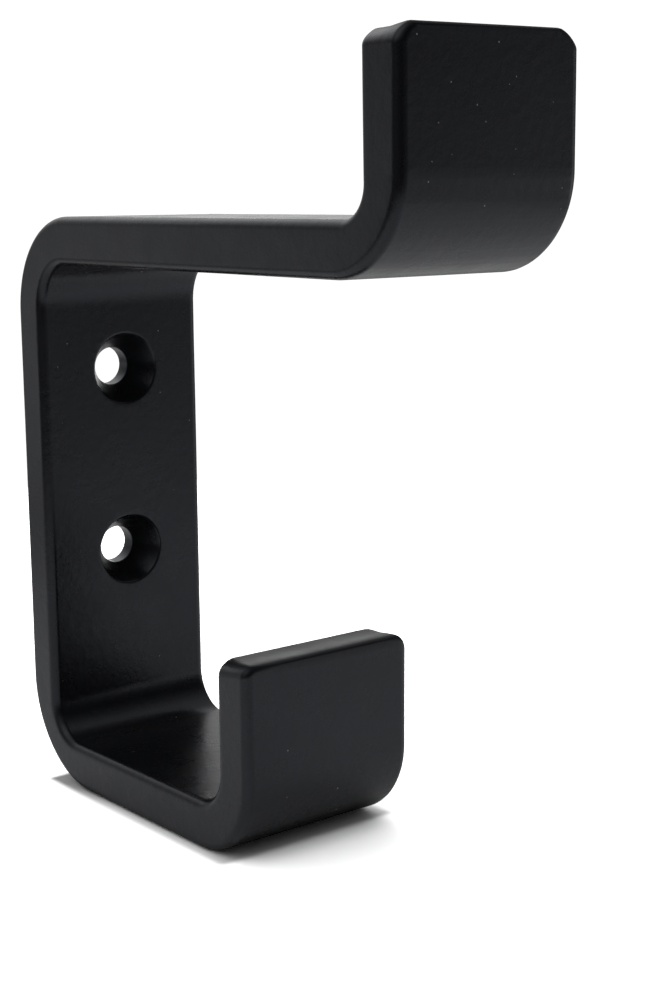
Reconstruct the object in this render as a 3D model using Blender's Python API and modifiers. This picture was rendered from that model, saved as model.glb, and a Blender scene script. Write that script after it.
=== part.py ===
"""Double wall hook bent from one flat bar.

Frame: metres, +Z up.  Y = 0 is the wall (back) face of the mounting plate and
the arms reach out towards -Y.  X = 0 is the middle of the bar's width.  The
origin is on the wall face, half way between the two screw holes.
"""
import math

import bmesh
import bpy
from mathutils import Vector

# ---------------------------------------------------------------- dimensions
BAR_WIDTH = 0.0254        # along X, 1 in x 1/4 in flat bar
BAR_THICK = 0.00635
EDGE_ROUND = 0.0012       # rolled edge along the length of the bar

PLATE_HEIGHT = 0.07915     # underside of the lower arm to the top of the upper arm, at the wall
UPPER_REACH = 0.08104      # wall face to the front face of the upper tip, along the arm
LOWER_REACH = 0.05326      # wall face to the front face of the lower tip, along the arm
UPPER_TIP_HEIGHT = 0.02585  # underside of the upper arm to the end of its tip
LOWER_TIP_HEIGHT = 0.0257  # underside of the lower arm to the end of its tip

# The bends are not quite square, as they come off the bending jig.
UPPER_ARM_RISE = math.radians(0.25)   # both arms climb a little away from the wall
LOWER_ARM_RISE = math.radians(1.84)
UPPER_TIP_LEAN = math.radians(0.59)     # the tips lean back towards the wall
LOWER_TIP_LEAN = math.radians(0.06)

BEND_INNER = {"plate_top": 0.00606, "upper_tip": 0.00366, "plate_bottom": 0.0051, "lower_tip": 0.0051}
BEND_OUTER = {"plate_top": 0.01294, "upper_tip": 0.01131, "plate_bottom": 0.01407, "lower_tip": 0.01118}
BEND_STEPS = 14

TIP_CORNER = 0.0024       # rounding of the two free corners of each tip
TIP_CORNER_STEPS = 6
# The upper corners are cut flatter than the lower ones, which are nearly round.
TIP_CORNER_PROFILE = {"upper": 0.40, "lower": 0.48}
END_ROUND = 0.00045       # the sheared ends are only broken, not rolled
EDGE_STEPS = 4

HOLE_SPACING = 0.0260     # between the two screw holes
LOWER_HOLE_ABOVE = 0.0319  # lower hole above the underside of the lower arm at the wall
HOLE_SIDE = 0.0005        # the pair of holes sits this far to +X of the bar's middle
HOLE_DIA = 0.0052         # clearance for a 4.5 to 5 mm countersunk screw
SINK_DIA = 0.0099         # countersink at the front face
SINK_DEPTH = 0.0039
HOLE_SIDES = 48

FINISH = (0.012, 0.0125, 0.0135, 1.0)   # black powder coat

Z_UNDER = -(LOWER_HOLE_ABOVE + HOLE_SPACING / 2)   # underside of the lower arm
Z_TOP = Z_UNDER + PLATE_HEIGHT                     # top of the upper arm


def clear_scene():
    for obj in list(bpy.data.objects):
        bpy.data.objects.remove(obj, do_unlink=True)


def collection(name):
    made = bpy.data.collections.new(name)
    bpy.context.scene.collection.children.link(made)
    return made


def corner_arc(before, corner, after, radius, steps):
    """Points of the fillet that rounds one corner of an outline."""
    to_before = (before - corner).normalized()
    to_after = (after - corner).normalized()
    half = to_before.angle(to_after) / 2
    reach = radius / math.tan(half)
    start = corner + to_before * reach
    centre = corner + (to_before + to_after).normalized() * (radius / math.sin(half))
    spoke = start - centre
    turn = math.pi - 2 * half
    if to_before.x * to_after.y - to_before.y * to_after.x > 0:
        turn = -turn
    points = []
    for i in range(steps + 1):
        a = turn * i / steps
        points.append(
            centre
            + Vector((spoke.x * math.cos(a) - spoke.y * math.sin(a), spoke.x * math.sin(a) + spoke.y * math.cos(a)))
        )
    return points


def meet(p, d, q, e):
    """Where the line through p along d meets the line through q along e."""
    across = d.x * e.y - d.y * e.x
    gap = q - p
    return p + d * ((gap.x * e.y - gap.y * e.x) / across)


def tip_lines(arm_start, arm_along, reach, lean):
    """Back face point, front face point and direction of an upturned tip."""
    rise = Vector((-math.sin(lean), math.cos(lean)))
    outward = Vector((math.cos(lean), math.sin(lean)))
    back = arm_start + arm_along * (reach - BAR_THICK)
    return back, back + outward * BAR_THICK, rise


def side_outline():
    """Closed outline of the bar seen from the side, as (reach from the wall, height),
    and the back and front corner of each free end."""
    t = BAR_THICK
    up = Vector((0.0, 1.0))
    wall = Vector((0.0, 0.0))
    front = Vector((t, 0.0))

    upper_top = Vector((0.0, Z_TOP))
    upper_along = Vector((math.cos(UPPER_ARM_RISE), math.sin(UPPER_ARM_RISE)))
    upper_under = upper_top - Vector((-upper_along.y, upper_along.x)) * t

    lower_under = Vector((0.0, Z_UNDER))
    lower_along = Vector((math.cos(LOWER_ARM_RISE), math.sin(LOWER_ARM_RISE)))
    lower_top = lower_under + Vector((-lower_along.y, lower_along.x)) * t

    u_back, u_front, u_rise = tip_lines(upper_under, upper_along, UPPER_REACH, UPPER_TIP_LEAN)
    l_back, l_front, l_rise = tip_lines(lower_under, lower_along, LOWER_REACH, LOWER_TIP_LEAN)

    # (point, fillet radius or None), walked round the whole profile
    walk = [
        (meet(wall, up, lower_under, lower_along), BEND_OUTER["plate_bottom"]),
        (meet(wall, up, upper_top, upper_along), BEND_OUTER["plate_top"]),
        (meet(upper_top, upper_along, u_back, u_rise), BEND_INNER["upper_tip"]),
        (u_back + u_rise * UPPER_TIP_HEIGHT, None),
        (u_front + u_rise * UPPER_TIP_HEIGHT, None),
        (meet(upper_under, upper_along, u_front, u_rise), BEND_OUTER["upper_tip"]),
        (meet(front, up, upper_under, upper_along), BEND_INNER["plate_top"]),
        (meet(front, up, lower_top, lower_along), BEND_INNER["plate_bottom"]),
        (meet(lower_top, lower_along, l_back, l_rise), BEND_INNER["lower_tip"]),
        (l_back + l_rise * LOWER_TIP_HEIGHT, None),
        (l_front + l_rise * LOWER_TIP_HEIGHT, None),
        (meet(lower_under, lower_along, l_front, l_rise), BEND_OUTER["lower_tip"]),
    ]
    corners = [p for p, _ in walk]
    outline = []
    for i, (_, radius) in enumerate(walk):
        if radius is None:
            outline.append(corners[i])
        else:
            outline += corner_arc(corners[i - 1], corners[i], corners[(i + 1) % len(walk)], radius, BEND_STEPS)
    free_ends = {"upper": (corners[3], corners[4]), "lower": (corners[9], corners[10])}
    return outline, free_ends


def filled_outline(name, outline, width):
    """A closed 2D curve, filled and extruded, turned so its plane is the object's side view."""
    curve = bpy.data.curves.new(name, "CURVE")
    curve.dimensions = "2D"
    curve.fill_mode = "BOTH"
    curve.extrude = width / 2
    spline = curve.splines.new("POLY")
    spline.points.add(len(outline) - 1)
    for point, at in zip(spline.points, outline):
        point.co = (-at.x, at.y, 0.0, 1.0)
    spline.use_cyclic_u = True
    obj = bpy.data.objects.new(name, curve)
    bpy.context.scene.collection.objects.link(obj)
    # curve X -> world Y, curve Y -> world Z, curve Z -> world X
    obj.rotation_euler = (math.pi / 2, 0.0, math.pi / 2)
    return obj


def as_mesh(curve_obj, into):
    """The curve object made a closed mesh object, its caps welded to its sides."""
    bpy.context.view_layer.update()
    graph = bpy.context.evaluated_depsgraph_get()
    evaluated = curve_obj.evaluated_get(graph)
    mesh = bpy.data.meshes.new_from_object(evaluated)
    name = curve_obj.name
    matrix = curve_obj.matrix_world.copy()
    bpy.data.objects.remove(curve_obj, do_unlink=True)
    mesh.transform(matrix)
    bm = bmesh.new()
    bm.from_mesh(mesh)
    bmesh.ops.remove_doubles(bm, verts=bm.verts, dist=1e-6)
    bmesh.ops.dissolve_limit(bm, angle_limit=math.radians(0.5), verts=bm.verts, edges=bm.edges)
    bmesh.ops.recalc_face_normals(bm, faces=bm.faces)
    bm.to_mesh(mesh)
    bm.free()
    obj = bpy.data.objects.new(name, mesh)
    into.objects.link(obj)
    return obj


def powder_coat():
    material = bpy.data.materials.new("black_powder_coat")
    material.use_nodes = True
    shader = material.node_tree.nodes["Principled BSDF"]
    shader.inputs["Base Color"].default_value = FINISH
    shader.inputs["Roughness"].default_value = 0.45
    shader.inputs["Metallic"].default_value = 0.0
    material.diffuse_color = FINISH
    return material


def round_tip_corners(obj, free_ends):
    """Rounds the free corners of both tips: the short edges that run through the bar's thickness."""
    bm = bmesh.new()
    bm.from_mesh(obj.data)
    for tip, (back, front) in free_ends.items():
        chosen = []
        for edge in bm.edges:
            ends = [Vector((-v.co.y, v.co.z)) for v in edge.verts]
            forward = (ends[0] - back).length < 1e-6 and (ends[1] - front).length < 1e-6
            reverse = (ends[1] - back).length < 1e-6 and (ends[0] - front).length < 1e-6
            if forward or reverse:
                chosen.append(edge)
        bmesh.ops.bevel(
            bm,
            geom=chosen,
            offset=TIP_CORNER,
            offset_type="OFFSET",
            segments=TIP_CORNER_STEPS,
            profile=TIP_CORNER_PROFILE[tip],
            affect="EDGES",
        )
    bm.normal_update()
    weigh_edges(bm)
    bm.to_mesh(obj.data)
    bm.free()


def weigh_edges(bm):
    """How far each sharp edge is rounded: fully along the bar, a little across its ends."""
    weights = bm.edges.layers.float.new("bevel_weight_edge")
    for edge in bm.edges:
        if edge.calc_face_angle(0.0) > math.radians(50):
            side = abs(edge.verts[0].co.x + edge.verts[1].co.x) / 2
            share = min(max((side - BAR_WIDTH / 2 + TIP_CORNER) / TIP_CORNER, 0.0), 1.0)
            edge[weights] = (END_ROUND + (EDGE_ROUND - END_ROUND) * share) / EDGE_ROUND


def countersink_cutter(name, x, z, into):
    """One cutter for a through hole and its cone, axis along Y, opening at the front face."""
    front = -BAR_THICK
    over = 0.004
    slope = (SINK_DIA - HOLE_DIA) / 2 / SINK_DEPTH
    profile = [
        (0.0, over),
        (HOLE_DIA / 2, over),
        (HOLE_DIA / 2, front + SINK_DEPTH),
        (SINK_DIA / 2 + slope * over, front - over),
        (0.0, front - over),
    ]
    mesh = bpy.data.meshes.new(name)
    bm = bmesh.new()
    bottom = bmesh.ops.create_cone(
        bm,
        cap_ends=True,
        segments=HOLE_SIDES,
        radius1=profile[1][0],
        radius2=profile[2][0],
        depth=profile[1][1] - profile[2][1],
    )["verts"]
    bmesh.ops.translate(bm, verts=bottom, vec=(0, 0, (profile[1][1] + profile[2][1]) / -2))
    bm.to_mesh(mesh)
    bm.free()
    bore = bpy.data.objects.new(name + "_bore", mesh)
    cone_mesh = bpy.data.meshes.new(name + "_cone")
    bm = bmesh.new()
    verts = bmesh.ops.create_cone(
        bm,
        cap_ends=True,
        segments=HOLE_SIDES,
        radius1=profile[2][0],
        radius2=profile[3][0],
        depth=profile[2][1] - profile[3][1],
    )["verts"]
    bmesh.ops.translate(bm, verts=verts, vec=(0, 0, (profile[2][1] + profile[3][1]) / -2))
    bm.to_mesh(cone_mesh)
    bm.free()
    cone = bpy.data.objects.new(name + "_cone", cone_mesh)
    made = []
    for cutter in (bore, cone):
        cutter.location = (x, 0.0, z)
        cutter.rotation_euler = (math.pi / 2, 0.0, 0.0)   # local +Z runs to -Y
        cutter.hide_render = True
        cutter.display_type = "WIRE"
        into.objects.link(cutter)
        made.append(cutter)
    return made


def main():
    clear_scene()
    parts = collection("double_wall_hook")
    cutters = collection("cutters")

    outline, free_ends = side_outline()
    bar = as_mesh(filled_outline("hook_bar", outline, BAR_WIDTH), parts)
    round_tip_corners(bar, free_ends)

    edge = bar.modifiers.new("rolled_edge", "BEVEL")
    edge.width = EDGE_ROUND
    edge.segments = EDGE_STEPS
    edge.limit_method = "WEIGHT"
    edge.use_clamp_overlap = False
    edge.miter_outer = "MITER_ARC"

    for i, z in enumerate((-HOLE_SPACING / 2, HOLE_SPACING / 2)):
        for cutter in countersink_cutter(f"screw_hole_{i + 1}", HOLE_SIDE, z, cutters):
            cut = bar.modifiers.new(cutter.name, "BOOLEAN")
            cut.operation = "DIFFERENCE"
            cut.solver = "EXACT"
            cut.object = cutter

    bar.data.materials.append(powder_coat())
    bar.data.shade_smooth()
    bar.data.set_sharp_from_angle(angle=math.radians(40))


main()
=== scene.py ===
import math

import bmesh
import bpy
import numpy as np
from mathutils import Matrix, Vector, noise


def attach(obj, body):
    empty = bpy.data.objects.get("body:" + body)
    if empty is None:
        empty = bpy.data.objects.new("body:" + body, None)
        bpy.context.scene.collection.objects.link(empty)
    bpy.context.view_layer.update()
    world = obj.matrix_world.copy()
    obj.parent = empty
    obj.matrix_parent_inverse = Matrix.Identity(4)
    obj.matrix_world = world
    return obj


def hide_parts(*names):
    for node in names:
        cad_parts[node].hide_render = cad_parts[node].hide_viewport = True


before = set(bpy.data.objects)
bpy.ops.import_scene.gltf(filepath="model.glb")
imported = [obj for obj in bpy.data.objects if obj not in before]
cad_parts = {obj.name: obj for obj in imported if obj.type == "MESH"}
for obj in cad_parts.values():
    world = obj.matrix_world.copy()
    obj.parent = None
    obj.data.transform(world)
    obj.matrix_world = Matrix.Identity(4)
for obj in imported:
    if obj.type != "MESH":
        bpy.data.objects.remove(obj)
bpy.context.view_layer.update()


# ------------------------------------------------------------------ sizes, metres
WIDTH = 0.0254
T = 0.00635
EDGE = 0.0012
PLATE_HEIGHT = 0.07915
UPPER_REACH = 0.08104
LOWER_REACH = 0.05326
UPPER_TIP = 0.02585
LOWER_TIP = 0.0257
UPPER_RISE = math.radians(0.25)
LOWER_RISE = math.radians(1.84)
UPPER_LEAN = math.radians(0.59)
LOWER_LEAN = math.radians(0.06)
INNER = {"plate_top": 0.00606, "upper_tip": 0.00366, "plate_bottom": 0.0051, "lower_tip": 0.0051}
OUTER = {"plate_top": 0.01294, "upper_tip": 0.01131, "plate_bottom": 0.01407, "lower_tip": 0.01118}
END_EDGE = 0.00045
TIP_CORNER = 0.0024
# how far each cut corner of a tip runs (across the bar, down the tip), at the front and at the back face
TIP_CORNERS = {
    "upper": {"left": ((0.0020, 0.0022), (0.0022, 0.0021)), "right": ((0.0031, 0.0021), (0.0031, 0.0021))},
    "lower": {"left": ((0.0013, 0.0013), (0.0027, 0.0024)), "right": ((0.0023, 0.0021), (0.0024, 0.0022))},
}
TIP_PROFILE = {"upper": 0.40, "lower": 0.48}
HOLE_SPACING = 0.0260
LOWER_HOLE_ABOVE = 0.0319
HOLE_SIDE = 0.0005
HOLE_DIA = 0.0052
SINK_DIA = 0.0099
SINK_DEPTH = 0.0039
Z_UNDER = -(LOWER_HOLE_ABOVE + HOLE_SPACING / 2)
Z_TOP = Z_UNDER + PLATE_HEIGHT
BEND_STEPS = 36
UPPER_END = Z_TOP - T + UPPER_REACH * math.sin(UPPER_RISE) + UPPER_TIP     # about where each tip ends, and its back face
LOWER_END = Z_UNDER + LOWER_REACH * math.sin(LOWER_RISE) + LOWER_TIP
UPPER_BACK = UPPER_REACH - T
LOWER_BACK = LOWER_REACH - T


# ------------------------------------------------------------------ side profile
def corner_arc(before, corner, after, radius, steps):
    to_before = (before - corner).normalized()
    to_after = (after - corner).normalized()
    half = to_before.angle(to_after) / 2
    start = corner + to_before * (radius / math.tan(half))
    centre = corner + (to_before + to_after).normalized() * (radius / math.sin(half))
    spoke = start - centre
    turn = math.pi - 2 * half
    if to_before.x * to_after.y - to_before.y * to_after.x > 0:
        turn = -turn
    out = []
    for i in range(steps + 1):
        a = turn * i / steps
        c, s = math.cos(a), math.sin(a)
        out.append(centre + Vector((spoke.x * c - spoke.y * s, spoke.x * s + spoke.y * c)))
    return out


def meet(p, d, q, e):
    across = d.x * e.y - d.y * e.x
    gap = q - p
    return p + d * ((gap.x * e.y - gap.y * e.x) / across)


def tip_lines(start, along, reach, lean):
    rise = Vector((-math.sin(lean), math.cos(lean)))
    outward = Vector((math.cos(lean), math.sin(lean)))
    back = start + along * (reach - T)
    return back, back + outward * T, rise


def side_outline():
    up = Vector((0.0, 1.0))
    wall = Vector((0.0, 0.0))
    front = Vector((T, 0.0))
    ua = Vector((math.cos(UPPER_RISE), math.sin(UPPER_RISE)))
    ut = Vector((0.0, Z_TOP))
    uu = ut - Vector((-ua.y, ua.x)) * T
    lu = Vector((0.0, Z_UNDER))
    la = Vector((math.cos(LOWER_RISE), math.sin(LOWER_RISE)))
    lt = lu + Vector((-la.y, la.x)) * T
    u_back, u_front, u_rise = tip_lines(uu, ua, UPPER_REACH, UPPER_LEAN)
    l_back, l_front, l_rise = tip_lines(lu, la, LOWER_REACH, LOWER_LEAN)
    walk = [
        (meet(wall, up, lu, la), OUTER["plate_bottom"]),
        (meet(wall, up, ut, ua), OUTER["plate_top"]),
        (meet(ut, ua, u_back, u_rise), INNER["upper_tip"]),
        (u_back + u_rise * UPPER_TIP, None),
        (u_front + u_rise * UPPER_TIP, None),
        (meet(uu, ua, u_front, u_rise), OUTER["upper_tip"]),
        (meet(front, up, uu, ua), INNER["plate_top"]),
        (meet(front, up, lt, la), INNER["plate_bottom"]),
        (meet(lt, la, l_back, l_rise), INNER["lower_tip"]),
        (l_back + l_rise * LOWER_TIP, None),
        (l_front + l_rise * LOWER_TIP, None),
        (meet(lu, la, l_front, l_rise), OUTER["lower_tip"]),
    ]
    corners = [p for p, _ in walk]
    outline = []
    for i, (_, radius) in enumerate(walk):
        if radius is None:
            outline.append(corners[i])
        else:
            outline += corner_arc(corners[i - 1], corners[i], corners[(i + 1) % len(walk)], radius, BEND_STEPS)
    return outline, {"upper": (corners[3], corners[4], u_rise), "lower": (corners[9], corners[10], l_rise)}


# ------------------------------------------------------------------ bar mesh
def side_point(vert):
    return Vector((-vert.co.y, vert.co.z))


def bar_mesh():
    outline, free_ends = side_outline()
    bm = bmesh.new()
    left = [bm.verts.new((-WIDTH / 2, -p.x, p.y)) for p in outline]
    right = [bm.verts.new((WIDTH / 2, -p.x, p.y)) for p in outline]
    n = len(outline)
    bm.faces.new(left)
    bm.faces.new(right[::-1])
    for i in range(n):
        j = (i + 1) % n
        bm.faces.new((left[j], left[i], right[i], right[j]))
    bmesh.ops.recalc_face_normals(bm, faces=bm.faces)
    for tip, (back, front, rise) in free_ends.items():
        chosen = []
        for edge in bm.edges:
            if abs(edge.verts[0].co.x - edge.verts[1].co.x) > 1e-6:
                continue
            ends = [side_point(v) for v in edge.verts]
            if max((ends[0] - back).length, (ends[1] - front).length) < 1e-6 or max((ends[1] - back).length, (ends[0] - front).length) < 1e-6:
                chosen.append(edge)
        bmesh.ops.bevel(bm, geom=chosen, offset=TIP_CORNER, offset_type="OFFSET", segments=12, profile=TIP_PROFILE[tip], affect="EDGES")
        for v in bm.verts:
            p = side_point(v)
            is_front = (p - (back + front) / 2).dot(front - back) > 0
            end = front if is_front else back
            down = (end - p).dot(rise)
            inward = WIDTH / 2 - abs(v.co.x)
            if down > TIP_CORNER + 1e-6 or inward > TIP_CORNER + 1e-6 or (p - end).length > TIP_CORNER * 1.5:
                continue
            across, along = TIP_CORNERS[tip]["left" if v.co.x < 0 else "right"][0 if is_front else 1]
            moved = end - rise * (down * along / TIP_CORNER)
            v.co = Vector((math.copysign(WIDTH / 2 - inward * across / TIP_CORNER, v.co.x), -moved.x, moved.y))
    bm.normal_update()
    # the long edges are rolled round; the cut ends are only broken
    weights = bm.edges.layers.float.new("bevel_weight_edge")
    for edge in bm.edges:
        if edge.calc_face_angle(0.0) > math.radians(50):
            x = abs(edge.verts[0].co.x + edge.verts[1].co.x) / 2
            share = min(max((x - WIDTH / 2 + TIP_CORNER) / TIP_CORNER, 0.0), 1.0)
            edge[weights] = (END_EDGE + (EDGE - END_EDGE) * share) / EDGE
    mesh = bpy.data.meshes.new("hook_bar_painted")
    bm.to_mesh(mesh)
    bm.free()
    return mesh


def sink_cutter(name, z):
    """A turned cutter: bore, countersink and the softened rims, with its axis along Y."""
    over = 0.003
    rim = 0.00035
    slope = math.atan2((SINK_DIA - HOLE_DIA) / 2, SINK_DEPTH)
    pts = [(0.0, over)]
    # softened rear rim
    for i in range(5):
        a = math.radians(6 + (90 - 6) * i / 4)
        pts.append((HOLE_DIA / 2 + rim * (1 - math.sin(a)), -rim + rim * math.cos(a) + (0.00002 if i == 0 else 0.0)))
    pts.insert(1, (pts[1][0] + 0.0002, over))
    # step from bore to cone, slightly filled by the coating
    knee = -T + SINK_DEPTH
    for i in range(5):
        a = slope * i / 4
        r = 0.0005
        pts.append((HOLE_DIA / 2 + r * (1 - math.cos(a)), knee + r * math.tan(slope / 2) - r * math.sin(a)))
    # cone up to the softened front rim
    end_r = SINK_DIA / 2
    turn = math.pi / 2 - slope
    r = rim * 1.3
    t = r * math.tan(turn / 2)
    start = Vector((end_r - t * math.sin(slope), -T + t * math.cos(slope)))
    for i in range(7):
        a = slope + (turn - math.radians(4)) * i / 6
        pts.append((start.x + r * (math.cos(slope) - math.cos(a)), start.y - r * (math.sin(a) - math.sin(slope))))
    last = pts[-1]
    pts.append((last[0] + 0.0008, -T - 0.0001))
    pts.append((last[0] + 0.0008, -T - over))
    pts.append((0.0, -T - over))
    steps = 96
    bm = bmesh.new()
    rings = []
    for radius, y in pts:
        if radius < 1e-9:
            rings.append([bm.verts.new((0.0, y, 0.0))])
        else:
            rings.append([bm.verts.new((radius * math.cos(2 * math.pi * k / steps), y, radius * math.sin(2 * math.pi * k / steps))) for k in range(steps)])
    for a, b in zip(rings[:-1], rings[1:]):
        for k in range(steps):
            m = (k + 1) % steps
            if len(a) == 1:
                bm.faces.new((a[0], b[k], b[m]))
            elif len(b) == 1:
                bm.faces.new((a[k], a[m], b[0]))
            else:
                bm.faces.new((a[k], a[m], b[m], b[k]))
    bmesh.ops.recalc_face_normals(bm, faces=bm.faces)
    mesh = bpy.data.meshes.new(name)
    bm.to_mesh(mesh)
    bm.free()
    obj = bpy.data.objects.new(name, mesh)
    obj.location = (HOLE_SIDE, 0.0, z)
    bpy.context.scene.collection.objects.link(obj)
    return obj


def smooth(t):
    t = min(max(t, 0.0), 1.0)
    return t * t * (3 - 2 * t)


def applied(obj):
    """The object's mesh with its modifiers applied."""
    bpy.context.view_layer.update()
    graph = bpy.context.evaluated_depsgraph_get()
    mesh = bpy.data.meshes.new_from_object(obj.evaluated_get(graph))
    obj.modifiers.clear()
    old = obj.data
    obj.data = mesh
    bpy.data.meshes.remove(old)


def build_bar():
    bar = bpy.data.objects.new("hook_bar_painted", bar_mesh())
    bpy.context.scene.collection.objects.link(bar)
    bevel = bar.modifiers.new("edges", "BEVEL")
    bevel.width = EDGE
    bevel.segments = 8
    bevel.limit_method = "WEIGHT"
    bevel.use_clamp_overlap = False
    bevel.miter_outer = "MITER_ARC"
    cutters = [sink_cutter(f"cut_{i}", z) for i, z in enumerate((-HOLE_SPACING / 2, HOLE_SPACING / 2))]
    for cutter in cutters:
        cut = bar.modifiers.new(cutter.name, "BOOLEAN")
        cut.operation = "DIFFERENCE"
        cut.solver = "EXACT"
        cut.object = cutter
    applied(bar)
    for cutter in cutters:
        bpy.data.objects.remove(cutter)
    bm = bmesh.new()
    bm.from_mesh(bar.data)
    bmesh.ops.triangulate(bm, faces=[f for f in bm.faces if len(f.verts) > 4])
    low = Vector((min(v.co.x for v in bm.verts), min(v.co.y for v in bm.verts), min(v.co.z for v in bm.verts)))
    high = Vector((max(v.co.x for v in bm.verts), max(v.co.y for v in bm.verts), max(v.co.z for v in bm.verts)))
    step = 0.0012
    for axis in range(3):
        count = int((high[axis] - low[axis]) / step)
        for i in range(1, count):
            at = low[axis] + (high[axis] - low[axis]) * i / count + 0.0000137
            point = Vector((0, 0, 0)); point[axis] = at
            normal = Vector((0, 0, 0)); normal[axis] = 1
            bmesh.ops.bisect_plane(bm, geom=bm.verts[:] + bm.edges[:] + bm.faces[:], dist=1e-7, plane_co=point, plane_no=normal)
    bmesh.ops.remove_doubles(bm, verts=bm.verts, dist=2e-6)
    bm.normal_update()
    # the ends are sheared, so each is a little low behind its front edge, and the upper one is a little out of square
    for v in bm.verts:
        for end, back, low_side in ((UPPER_END, UPPER_BACK, 0.0004), (LOWER_END, LOWER_BACK, 0.0)):
            if abs(-v.co.y - back - T / 2) > T or v.co.z < end - 0.006 or v.co.z > end + 0.001:
                continue
            near = smooth((v.co.z - end + 0.006) / 0.006)
            lip = 1 - smooth((-v.co.y - back - 0.0022) / 0.0030)
            v.co.z -= near * low_side * (0.5 - v.co.x / WIDTH) + smooth((v.co.z - end + 0.002) / 0.002) * lip * 0.0003
    # the rolled bar and the baked coating are never quite flat: a shallow, slow unevenness, always inwards
    for v in bm.verts:
        p = v.co
        slow = noise.noise(p * 95.0) * 0.5 + 0.5
        mid = noise.noise(p * 260.0 + Vector((7.1, 3.3, 1.9))) * 0.5 + 0.5
        v.co = p - v.normal * (0.000030 * slow + 0.000010 * mid)
    bm.to_mesh(bar.data)
    bm.free()
    bar.data.shade_smooth()
    bar.data.set_sharp_from_angle(angle=math.radians(50))
    weighted = bar.modifiers.new("normals", "WEIGHTED_NORMAL")
    weighted.keep_sharp = True
    return bar


# ------------------------------------------------------------------ material
def nodes_of(owner):
    owner.use_nodes = True
    tree = owner.node_tree
    tree.nodes.clear()
    return tree


def add(tree, kind, at=(0, 0), **props):
    node = tree.nodes.new(kind)
    node.location = at
    for key, value in props.items():
        setattr(node, key, value)
    return node


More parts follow.
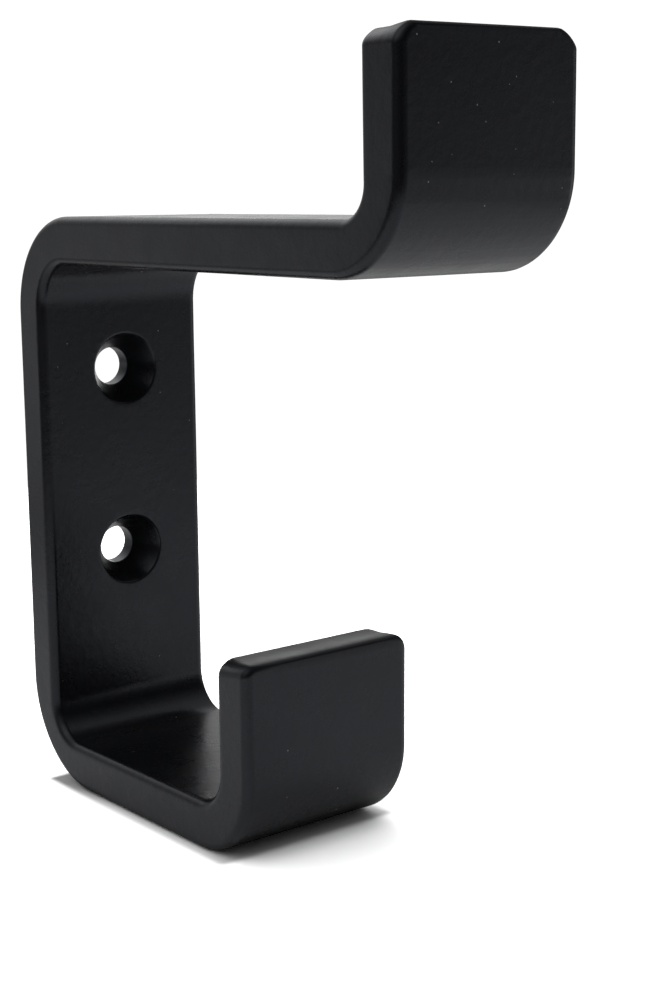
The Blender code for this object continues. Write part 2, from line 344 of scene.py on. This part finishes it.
def powder_coat():
    material = bpy.data.materials.new("satin_black_powder_coat")
    tree = nodes_of(material)
    link = tree.links.new
    out = add(tree, "ShaderNodeOutputMaterial", (1200, 0))
    shader = add(tree, "ShaderNodeBsdfPrincipled", (900, 0))
    link(shader.outputs["BSDF"], out.inputs["Surface"])
    shader.inputs["Metallic"].default_value = 0.0
    shader.inputs["IOR"].default_value = 1.5
    shader.inputs["Specular Tint"].default_value = (0.86, 0.90, 1.0, 1)
    coords = add(tree, "ShaderNodeTexCoord", (-1400, 0))
    place = coords.outputs["Object"]

    # colour: slow mottling and a fine grain in the black
    slow = add(tree, "ShaderNodeTexNoise", (-1100, 400))
    slow.inputs["Scale"].default_value = 70.0
    slow.inputs["Detail"].default_value = 4.0
    link(place, slow.inputs["Vector"])
    fine = add(tree, "ShaderNodeTexNoise", (-1100, 150))
    fine.inputs["Scale"].default_value = 2600.0
    fine.inputs["Detail"].default_value = 2.0
    link(place, fine.inputs["Vector"])
    both = add(tree, "ShaderNodeMath", (-850, 300), operation="MULTIPLY_ADD")
    link(fine.outputs["Fac"], both.inputs[0])
    both.inputs[1].default_value = 0.35
    link(slow.outputs["Fac"], both.inputs[2])
    ramp = add(tree, "ShaderNodeValToRGB", (-650, 300))
    ramp.color_ramp.elements[0].position = 0.45
    ramp.color_ramp.elements[0].color = (0.0060, 0.0065, 0.0080, 1)
    ramp.color_ramp.elements[1].position = 0.9
    ramp.color_ramp.elements[1].color = (0.0106, 0.0113, 0.0134, 1)
    link(both.outputs[0], ramp.inputs["Fac"])

    # sparse dust specks
    cells = add(tree, "ShaderNodeTexVoronoi", (-1100, -150), feature="F1")
    cells.inputs["Scale"].default_value = 620.0
    cells.inputs["Randomness"].default_value = 1.0
    link(place, cells.inputs["Vector"])
    dot = add(tree, "ShaderNodeMapRange", (-850, -120))
    dot.inputs["From Min"].default_value = 0.035
    dot.inputs["From Max"].default_value = 0.072
    dot.inputs["To Min"].default_value = 1.0
    dot.inputs["To Max"].default_value = 0.0
    link(cells.outputs["Distance"], dot.inputs["Value"])
    pick = add(tree, "ShaderNodeSeparateColor", (-850, -350))
    link(cells.outputs["Color"], pick.inputs["Color"])
    some = add(tree, "ShaderNodeMath", (-650, -350), operation="GREATER_THAN")
    link(pick.outputs["Red"], some.inputs[0])
    # more of them high up, on the upper tip
    height = add(tree, "ShaderNodeSeparateXYZ", (-1100, -420))
    link(place, height.inputs[0])
    rare = add(tree, "ShaderNodeMapRange", (-850, -480))
    rare.inputs["From Min"].default_value = 0.0
    rare.inputs["From Max"].default_value = 0.034
    rare.inputs["To Min"].default_value = 0.92
    rare.inputs["To Max"].default_value = 0.32
    link(height.outputs["Z"], rare.inputs["Value"])
    link(rare.outputs["Result"], some.inputs[1])
    speck = add(tree, "ShaderNodeMath", (-450, -200), operation="MULTIPLY")
    link(dot.outputs["Result"], speck.inputs[0])
    link(some.outputs[0], speck.inputs[1])
    dusted = add(tree, "ShaderNodeMix", (-200, 250), data_type="RGBA")
    link(speck.outputs[0], dusted.inputs["Factor"])
    link(ramp.outputs["Color"], dusted.inputs["A"])
    dusted.inputs["B"].default_value = (0.42, 0.42, 0.41, 1)

    # edges polished by handling: slightly lighter where the surface turns
    edge = add(tree, "ShaderNodeAttribute", (-450, 650), attribute_name="edge_wear")
    worn = add(tree, "ShaderNodeMix", (50, 350), data_type="RGBA")
    link(edge.outputs["Fac"], worn.inputs["Factor"])
    link(dusted.outputs["Result"], worn.inputs["A"])
    worn.inputs["B"].default_value = (0.0140, 0.0146, 0.0160, 1)
    link(worn.outputs["Result"], shader.inputs["Base Color"])

    # roughness
    rough_noise = add(tree, "ShaderNodeTexNoise", (-1100, -600))
    rough_noise.inputs["Scale"].default_value = 240.0
    rough_noise.inputs["Detail"].default_value = 5.0
    link(place, rough_noise.inputs["Vector"])
    rough = add(tree, "ShaderNodeMapRange", (-850, -600))
    rough.inputs["From Min"].default_value = 0.3
    rough.inputs["From Max"].default_value = 0.7
    rough.inputs["To Min"].default_value = 0.25
    rough.inputs["To Max"].default_value = 0.32
    link(rough_noise.outputs["Fac"], rough.inputs["Value"])
    rough_all = add(tree, "ShaderNodeMix", (50, -300), data_type="FLOAT")
    link(speck.outputs[0], rough_all.inputs["Factor"])
    link(rough.outputs["Result"], rough_all.inputs["A"])
    rough_all.inputs["B"].default_value = 0.85
    # the sheared ends take the coat more roughly
    cut = add(tree, "ShaderNodeAttribute", (50, -500), attribute_name="cut_end")
    rough_cut = add(tree, "ShaderNodeMath", (300, -350), operation="MULTIPLY_ADD", use_clamp=True)
    link(cut.outputs["Fac"], rough_cut.inputs[0])
    rough_cut.inputs[1].default_value = 0.13
    link(rough_all.outputs["Result"], rough_cut.inputs[2])
    link(rough_cut.outputs[0], shader.inputs["Roughness"])
    less = add(tree, "ShaderNodeMath", (300, -500), operation="MULTIPLY_ADD")
    link(cut.outputs["Fac"], less.inputs[0])
    less.inputs[1].default_value = -0.14
    less.inputs[2].default_value = 0.5
    link(less.outputs[0], shader.inputs["Specular IOR Level"])

    # orange peel and grain
    peel = add(tree, "ShaderNodeTexNoise", (-1100, -900))
    peel.inputs["Scale"].default_value = 900.0
    peel.inputs["Detail"].default_value = 1.5
    link(place, peel.inputs["Vector"])
    grain = add(tree, "ShaderNodeTexNoise", (-1100, -1150))
    grain.inputs["Scale"].default_value = 3400.0
    grain.inputs["Detail"].default_value = 3.0
    link(place, grain.inputs["Vector"])
    bump1 = add(tree, "ShaderNodeBump", (300, -700))
    bump1.inputs["Strength"].default_value = 0.22
    bump1.inputs["Distance"].default_value = 0.00012
    link(peel.outputs["Fac"], bump1.inputs["Height"])
    bump2 = add(tree, "ShaderNodeBump", (550, -700))
    bump2.inputs["Strength"].default_value = 0.28
    bump2.inputs["Distance"].default_value = 0.00004
    link(grain.outputs["Fac"], bump2.inputs["Height"])
    link(bump1.outputs["Normal"], bump2.inputs["Normal"])
    bump3 = add(tree, "ShaderNodeBump", (700, -500))
    bump3.inputs["Strength"].default_value = 0.5
    bump3.inputs["Distance"].default_value = 0.00005
    link(speck.outputs[0], bump3.inputs["Height"])
    link(bump2.outputs["Normal"], bump3.inputs["Normal"])
    link(bump3.outputs["Normal"], shader.inputs["Normal"])
    return material


def mark_edges(obj):
    """Point attributes: the rounded long edges of the bar, and its sheared ends."""
    mesh = obj.data
    count = len(mesh.vertices)
    co = np.zeros(count * 3, np.float32)
    mesh.vertices.foreach_get("co", co)
    co = co.reshape(-1, 3)
    across = np.abs(co[:, 0])
    wear = np.clip((across - (WIDTH / 2 - EDGE * 0.75)) / (EDGE * 0.4), 0, 1) * np.clip((WIDTH / 2 - across) / (EDGE * 0.12), 0, 1)
    layer = mesh.attributes.new("edge_wear", "FLOAT", "POINT")
    layer.data.foreach_set("value", (wear * 0.6).astype(np.float32))
    cut = np.zeros(count)
    for end, back in ((UPPER_END, UPPER_BACK), (LOWER_END, LOWER_BACK)):
        in_tip = (np.abs(-co[:, 1] - back - T / 2) < T) & (co[:, 2] > end - 0.004) & (co[:, 2] < end + 0.001)
        cut = np.where(in_tip, np.clip((co[:, 2] - end + 0.0011) / 0.0005, 0, 1), cut)
    layer = mesh.attributes.new("cut_end", "FLOAT", "POINT")
    layer.data.foreach_set("value", cut.astype(np.float32))


bar = build_bar()
mark_edges(bar)
bar.data.materials.clear()
bar.data.materials.append(powder_coat())
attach(bar, "root")
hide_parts("hook_bar")

# ------------------------------------------------------------------ floor and backdrop
FLOOR_RADIUS = 0.27
# painted pool of light on the floor: its radii and its brightness near and far from the hook
FLOOR_NEAR_R, FLOOR_FAR_R = 0.12, 0.27
FLOOR_NEAR, FLOOR_FAR = 1.42, 0.42
FLOOR_SEEN = 5.4


def floor_material():
    """White paper with painted light and shade: a painted pool of light under the hook that falls off away from it, a
    little brighter just in front, and a painted contact shadow round the lower arm. The camera sees it overexposed.
    """
    material = bpy.data.materials.new("white_paper_painted_light_and_shadow")
    tree = nodes_of(material)
    link = tree.links.new
    out = add(tree, "ShaderNodeOutputMaterial", (900, 0))
    shader = add(tree, "ShaderNodeBsdfDiffuse", (600, 0))
    link(shader.outputs["BSDF"], out.inputs["Surface"])
    coords = add(tree, "ShaderNodeTexCoord", (-900, 0))
    grain = add(tree, "ShaderNodeTexNoise", (-650, 200))
    grain.inputs["Scale"].default_value = 900.0
    link(coords.outputs["Object"], grain.inputs["Vector"])
    fibre = add(tree, "ShaderNodeMapRange", (-400, 200))
    fibre.inputs["To Min"].default_value = 0.97
    fibre.inputs["To Max"].default_value = 1.03
    link(grain.outputs["Fac"], fibre.inputs["Value"])
    # painted pool of light centred under the hook, falling off away from it
    away = add(tree, "ShaderNodeVectorMath", (-650, -100), operation="DISTANCE")
    link(coords.outputs["Object"], away.inputs[0])
    away.inputs[1].default_value = (0.01, -0.045, 0.0)
    fall = add(tree, "ShaderNodeMapRange", (-400, -100), interpolation_type="SMOOTHSTEP")
    fall.inputs["From Min"].default_value = FLOOR_NEAR_R
    fall.inputs["From Max"].default_value = FLOOR_FAR_R
    fall.inputs["To Min"].default_value = FLOOR_NEAR
    fall.inputs["To Max"].default_value = FLOOR_FAR
    link(away.outputs["Value"], fall.inputs["Value"])
    spot = add(tree, "ShaderNodeSeparateXYZ", (-900, -700))
    link(coords.outputs["Object"], spot.inputs[0])
    # painted light: the floor a little brighter just in front of the hook
    ahead = add(tree, "ShaderNodeMapRange", (-400, 500))
    ahead.inputs["From Min"].default_value = -0.20
    ahead.inputs["From Max"].default_value = -0.04
    link(spot.outputs["Y"], ahead.inputs["Value"])
    front = add(tree, "ShaderNodeValToRGB", (-200, 500))
    stops = front.color_ramp.elements
    stops[0].position, stops[0].color = 0.45, (0.5, 0.5, 0.5, 1)
    stops[1].position, stops[1].color = 0.94, (0.5, 0.5, 0.5, 1)
    for at, value in ((0.62, 0.53), (0.84, 0.59), (0.90, 0.56)):
        stops.new(at).color = (value, value, value, 1)
    link(ahead.outputs["Result"], front.inputs["Fac"])
    ahead_of = add(tree, "ShaderNodeMath", (50, 500), operation="MULTIPLY")
    link(front.outputs["Color"], ahead_of.inputs[0])
    ahead_of.inputs[1].default_value = 2.0
    # painted light: the falloff times the brightening in front, as seen in reflections
    paper = add(tree, "ShaderNodeMath", (200, 500), operation="MULTIPLY")
    link(fall.outputs["Result"], paper.inputs[0])
    link(ahead_of.outputs[0], paper.inputs[1])
    seen = add(tree, "ShaderNodeLightPath", (-400, -400))
    white = add(tree, "ShaderNodeMix", (-100, -100), data_type="FLOAT")
    link(seen.outputs["Is Camera Ray"], white.inputs["Factor"])
    link(paper.outputs[0], white.inputs["A"])
    white.inputs["B"].default_value = FLOOR_SEEN
    # painted contact shadow: the floor colour darkens round the lower arm's footprint
    beyond = add(tree, "ShaderNodeCombineXYZ", (-100, -700))
    for i, (axis, middle, half) in enumerate((("X", 0.0, WIDTH / 2), ("Y", -0.0270, 0.0210))):
        off = add(tree, "ShaderNodeMath", (-700, -700 - 180 * i), operation="SUBTRACT")
        link(spot.outputs[axis], off.inputs[0])
        off.inputs[1].default_value = middle
        far = add(tree, "ShaderNodeMath", (-500, -700 - 180 * i), operation="ABSOLUTE")
        link(off.outputs[0], far.inputs[0])
        out_by = add(tree, "ShaderNodeMath", (-300, -700 - 180 * i), operation="SUBTRACT", use_clamp=True)
        link(far.outputs[0], out_by.inputs[0])
        out_by.inputs[1].default_value = half
        link(out_by.outputs[0], beyond.inputs[axis])
    gap = add(tree, "ShaderNodeVectorMath", (50, -700), operation="LENGTH")
    link(beyond.outputs["Vector"], gap.inputs[0])
    shade = add(tree, "ShaderNodeMapRange", (200, -700), interpolation_type="SMOOTHSTEP")
    shade.inputs["From Min"].default_value = 0.0
    shade.inputs["From Max"].default_value = 0.0017
    # painted shadow, deeper at the back under the outer bend
    deep = add(tree, "ShaderNodeMapRange", (0, -900))
    deep.inputs["From Min"].default_value = -0.022
    deep.inputs["From Max"].default_value = -0.009
    deep.inputs["To Min"].default_value = 0.42
    deep.inputs["To Max"].default_value = 0.16
    link(spot.outputs["Y"], deep.inputs["Value"])
    link(deep.outputs["Result"], shade.inputs["To Min"])
    # painted light: the floor a little lighter just beyond the bar's right edge
    clear = add(tree, "ShaderNodeMapRange", (0, -1100))
    clear.inputs["From Min"].default_value = WIDTH / 2 + 0.0003
    clear.inputs["From Max"].default_value = WIDTH / 2 + 0.0038
    clear.inputs["To Min"].default_value = 1.0
    clear.inputs["To Max"].default_value = 1.12
    link(spot.outputs["X"], clear.inputs["Value"])
    link(clear.outputs["Result"], shade.inputs["To Max"])
    link(gap.outputs["Value"], shade.inputs["Value"])
    lit = add(tree, "ShaderNodeMath", (100, -200), operation="MULTIPLY")
    link(white.outputs["Result"], lit.inputs[0])
    link(shade.outputs["Result"], lit.inputs[1])
    level = add(tree, "ShaderNodeMath", (250, 0), operation="MULTIPLY")
    link(fibre.outputs["Result"], level.inputs[0])
    link(lit.outputs[0], level.inputs[1])
    tint = add(tree, "ShaderNodeCombineColor", (350, 0))
    for channel in ("Red", "Green", "Blue"):
        link(level.outputs[0], tint.inputs[channel])
    link(tint.outputs["Color"], shader.inputs["Color"])
    return material


def make_floor():
    """A white paper sheet that touches the underside of the lower arm and follows its slope."""
    bm = bmesh.new()
    bmesh.ops.create_circle(bm, cap_ends=True, segments=96, radius=FLOOR_RADIUS)
    mesh = bpy.data.meshes.new("floor_sheet")
    bm.to_mesh(mesh)
    bm.free()
    floor = bpy.data.objects.new("floor_sheet", mesh)
    bpy.context.scene.collection.objects.link(floor)
    floor.location = (0.0, 0.0, Z_UNDER - 0.00002)
    floor.rotation_euler = (-LOWER_RISE, 0.0, 0.0)
    mesh.materials.append(floor_material())
    return floor


floor = make_floor()

# ------------------------------------------------------------------ light
# Broad soft sources round the hook: compass bearing and height in degrees (0 is +Y, 90 is +X), tightness, strength
SOURCES = (
    (-38, -10, 25, 0.70),
    (0, -10, 25, 0.21),
    (110, -10, 25, 1.20),
    (142, -10, 25, 0.48),
    (175, -10, 25, 0.19),
    (16, -9, 40, 0.90),
    (62, -9, 40, 0.40),
    (-30, 8, 25, 0.12),
    (36, 0, 80, 2.20),
    (-10, 32, 12, 0.65),
    (20, 32, 12, 1.20),
    (270, 32, 12, 0.19),
    (90, 58, 8, 0.52),
    (225, 58, 8, 0.10),
    (270, 58, 8, 0.96),
)


def studio_world():
    """A dim room with broad soft sources; the backdrop itself is seen as plain white."""
    world = bpy.data.worlds.new("studio")
    bpy.context.scene.world = world
    tree = nodes_of(world)
    link = tree.links.new
    out = add(tree, "ShaderNodeOutputWorld", (900, 0))
    back = add(tree, "ShaderNodeBackground", (650, 0))
    link(back.outputs["Background"], out.inputs["Surface"])
    where = add(tree, "ShaderNodeTexCoord", (-900, 0))
    total = None
    for i, (bearing, height, tight, strength) in enumerate(SOURCES):
        az, el = math.radians(bearing), math.radians(height)
        facing = add(tree, "ShaderNodeVectorMath", (-650, -160 * i), operation="DOT_PRODUCT")
        link(where.outputs["Generated"], facing.inputs[0])
        facing.inputs[1].default_value = (math.sin(az) * math.cos(el), math.cos(az) * math.cos(el), math.sin(el))
        drop = add(tree, "ShaderNodeMath", (-450, -160 * i), operation="MULTIPLY_ADD")
        link(facing.outputs["Value"], drop.inputs[0])
        drop.inputs[1].default_value = tight
        drop.inputs[2].default_value = -tight
        glow = add(tree, "ShaderNodeMath", (-250, -160 * i), operation="EXPONENT")
        link(drop.outputs[0], glow.inputs[0])
        share = add(tree, "ShaderNodeMath", (-50, -160 * i), operation="MULTIPLY_ADD")
        link(glow.outputs[0], share.inputs[0])
        share.inputs[1].default_value = strength
        share.inputs[2].default_value = 0.0
        if total is not None:
            link(total, share.inputs[2])
        total = share.outputs[0]
    seen = add(tree, "ShaderNodeLightPath", (150, 300))
    level = add(tree, "ShaderNodeMix", (400, 0), data_type="FLOAT")
    link(seen.outputs["Is Camera Ray"], level.inputs["Factor"])
    link(total, level.inputs["A"])
    level.inputs["B"].default_value = 1.35
    link(level.outputs["Result"], back.inputs["Strength"])


studio_world()

# ------------------------------------------------------------------ camera
def make_camera():
    az, el, roll = math.radians(-38.110), math.radians(10.649), math.radians(-0.396)
    at = Vector((-0.11873, -0.20481, 0.08270 + Z_UNDER))
    back = Vector((math.sin(az) * math.cos(el), -math.cos(az) * math.cos(el), math.sin(el)))
    forward = -back
    right = forward.cross(Vector((0, 0, 1))).normalized()
    up = right.cross(forward)
    r = right * math.cos(roll) + up * math.sin(roll)
    u = up * math.cos(roll) - right * math.sin(roll)
    data = bpy.data.cameras.new("camera")
    data.sensor_width = 36.0
    data.lens = 1636.38 / 990.0 * 36.0
    data.clip_start = 0.005
    data.clip_end = 50.0
    obj = bpy.data.objects.new("camera", data)
    bpy.context.scene.collection.objects.link(obj)
    obj.matrix_world = Matrix(((r.x, u.x, back.x, at.x), (r.y, u.y, back.y, at.y), (r.z, u.z, back.z, at.z), (0, 0, 0, 1)))
    bpy.context.scene.camera = obj


make_camera()
view = bpy.context.scene.view_settings
view.view_transform = "Standard"
view.look = "None"
view.exposure = 0.0
